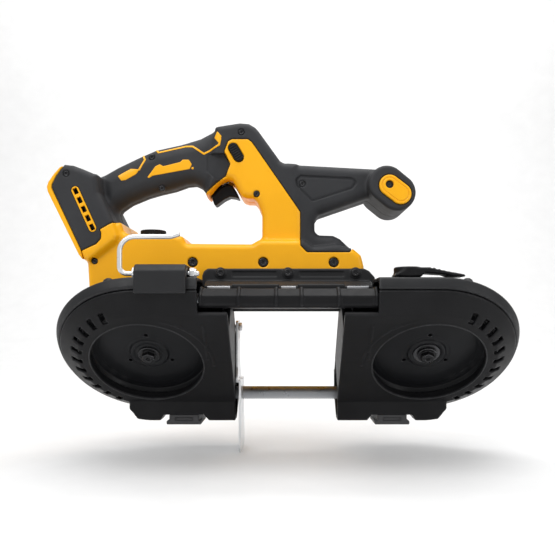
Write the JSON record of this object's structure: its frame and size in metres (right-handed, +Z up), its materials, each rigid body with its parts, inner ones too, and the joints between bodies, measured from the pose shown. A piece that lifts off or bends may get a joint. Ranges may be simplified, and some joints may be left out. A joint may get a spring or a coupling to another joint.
{
  "type": "portable band saw",
  "caption": "Cordless portable band saw with a rear pistol grip, a front handle, a leaning two-wheel blade deck, a work stop and a hanging hook.",
  "frame": {"origin": "centre of the bounding box on its lowest plane, at the tip of the work stop", "axes": "+X along the blade from the battery end to the front handle, +Y away from the wheel covers, +Z up"},
  "size_m": [0.4325, 0.15, 0.3121],
  "materials": {
    "yellow": "fine moulded texture",
    "softgrip": "soft matte",
    "black": "satin moulded",
    "black_metal": "black coated casting",
    "zinc": "zinc plated",
    "steel": "plain",
    "castalu": "die cast",
    "blued": "tool steel band",
    "screw_black": "black oxide",
    "copper": "winding and contact metal",
    "board": "circuit board",
    "tyre": "rubber"
  },
  "bodies": {
    "root": {"housing_right": "yellow", "housing_left": "yellow", "overmold_right": "softgrip", "overmold_left": "softgrip", "battery_rail": "yellow", "battery_contacts": "copper", "contact_block": "black", "trigger_spring": "steel", "switch_body": "black", "control_board": "board", "motor_stator": "copper", "motor_bearings": "steel", "gearcase": "castalu", "gearcase_cover": "castalu", "drive_bearings": "steel", "tension_spring": "steel", "blade": "blued", "deck_frame": "black", "guard_left": "black", "guard_right": "black", "bridge_cover": "black", "flange_bracket": "black_metal", "flange_screws": "screw_black", "guide_bracket_left": "steel", "guide_bracket_right": "steel", "work_stop_screws": "zinc", "hook_barrel": "black_metal", "foot_pads": "tyre", "handle_end_cap": "yellow", "housing_screws": "screw_black", "bracket_screws": "screw_black", "guard_screws": "screw_black"},
    "trigger": {"trigger": "black"},
    "lock_button": {"lock_button": "black"},
    "drive_train": {"drive_wheel": "black_metal", "drive_tyre": "tyre", "drive_wheel_bolt": "screw_black", "drive_shaft": "steel", "drive_gear": "steel"},
    "middle_gear": {"middle_gear": "steel"},
    "rotor": {"motor_rotor": "steel", "motor_fan": "black", "motor_pinion": "steel"},
    "tension_slide": {"idler_slide": "castalu", "idler_axle": "steel", "idler_bearing": "steel", "idler_wheel_bolt": "screw_black"},
    "idler": {"idler_wheel": "black_metal", "idler_tyre": "tyre"},
    "tension_lever": {"tension_lever": "black"},
    "roller_left_front": {"guide_rollers_left_front": "steel"},
    "roller_left_back": {"guide_rollers_left_back": "steel"},
    "roller_right_front": {"guide_rollers_right_front": "steel"},
    "roller_right_back": {"guide_rollers_right_back": "steel"},
    "roller_left_top": {"thrust_roller_left": "steel"},
    "roller_right_top": {"thrust_roller_right": "steel"},
    "work_stop": {"work_stop": "zinc"},
    "hook": {"hook_wire": "zinc", "hook_nut": "zinc"},
    "speed_dial": {"speed_dial": "black"}
  },
  "joints": [
    {"name": "trigger_pull", "type": "slide", "parent": "root", "child": "trigger", "axis": [0, 0, 1], "range_m": [0, 0.006], "stiffness_N_per_m": 700, "springref_m": -0.004},
    {"name": "lock_button_push", "type": "slide", "parent": "root", "child": "lock_button", "axis": [0, 1, 0], "range_m": [0, 0.004], "stiffness_N_per_m": 400, "springref_m": -0.003},
    {"name": "drive_spin", "type": "hinge", "parent": "root", "child": "drive_train", "pos_m": [-0.11875, -0.01027, 0.09913], "axis": [0, -0.7071, -0.7071], "continuous": true},
    {"name": "middle_gear_spin", "type": "hinge", "parent": "root", "child": "middle_gear", "pos_m": [-0.08045, 0.02296, 0.13236], "axis": [0, -0.7071, -0.7071], "continuous": true},
    {"name": "rotor_spin", "type": "hinge", "parent": "root", "child": "rotor", "pos_m": [-0.10045, 0.03569, 0.16913], "axis": [0, -0.7071, -0.7071], "continuous": true},
    {"name": "tension_slide", "type": "slide", "parent": "root", "child": "tension_slide", "axis": [-1, 0, 0], "range_m": [0, 0.003]},
    {"name": "idler_spin", "type": "hinge", "parent": "tension_slide", "child": "idler", "pos_m": [0.13225, -0.01027, 0.09913], "axis": [0, -0.7071, -0.7071], "continuous": true},
    {"name": "tension_lever_turn", "type": "hinge", "parent": "root", "child": "tension_lever", "pos_m": [0.10775, -0.052, 0.1654], "axis": [0, 0, -1], "range_deg": [0, 90]},
    {"name": "roller_left_front_spin", "type": "hinge", "parent": "root", "child": "roller_left_front", "pos_m": [-0.05175, 0.02795, 0.0574], "axis": [0, 0, 1], "continuous": true},
    {"name": "roller_left_back_spin", "type": "hinge", "parent": "root", "child": "roller_left_back", "pos_m": [-0.05175, 0.04095, 0.0574], "axis": [0, 0, 1], "continuous": true},
    {"name": "roller_right_front_spin", "type": "hinge", "parent": "root", "child": "roller_right_front", "pos_m": [0.06525, 0.02795, 0.0574], "axis": [0, 0, 1], "continuous": true},
    {"name": "roller_right_back_spin", "type": "hinge", "parent": "root", "child": "roller_right_back", "pos_m": [0.06525, 0.04095, 0.0574], "axis": [0, 0, 1], "continuous": true},
    {"name": "roller_left_top_spin", "type": "hinge", "parent": "root", "child": "roller_left_top", "pos_m": [-0.06425, 0.03445, 0.06695], "axis": [0, 1, 0], "continuous": true},
    {"name": "roller_right_top_spin", "type": "hinge", "parent": "root", "child": "roller_right_top", "pos_m": [0.07775, 0.03445, 0.06695], "axis": [0, 1, 0], "continuous": true},
    {"name": "work_stop_slide", "type": "slide", "parent": "root", "child": "work_stop", "axis": [0, 0, 1], "range_m": [0, 0.01]},
    {"name": "hook_swing", "type": "hinge", "parent": "root", "child": "hook", "pos_m": [-0.09825, -0.059, 0.1647], "axis": [1, 0, 0], "range_deg": [0, 90]},
    {"name": "speed_dial_turn", "type": "hinge", "parent": "root", "child": "speed_dial", "pos_m": [-0.12465, 0.033, 0.2044], "axis": [0, 0, 1], "range_deg": [0, 270]}
  ],
  "couplings": [
    {"joint": "middle_gear_spin", "follows": "drive_spin", "ratio": -3.75},
    {"joint": "rotor_spin", "follows": "drive_spin", "ratio": 12.712},
    {"joint": "idler_spin", "follows": "drive_spin", "ratio": 1},
    {"joint": "roller_left_front_spin", "follows": "drive_spin", "ratio": -10.5},
    {"joint": "roller_left_back_spin", "follows": "drive_spin", "ratio": 10.5},
    {"joint": "roller_right_front_spin", "follows": "drive_spin", "ratio": -10.5},
    {"joint": "roller_right_back_spin", "follows": "drive_spin", "ratio": 10.5},
    {"joint": "roller_left_top_spin", "follows": "drive_spin", "ratio": -10.5},
    {"joint": "roller_right_top_spin", "follows": "drive_spin", "ratio": -10.5},
    {"joint": "tension_lever_turn", "follows": "tension_slide", "rad_per_m": 523.59}
  ]
}
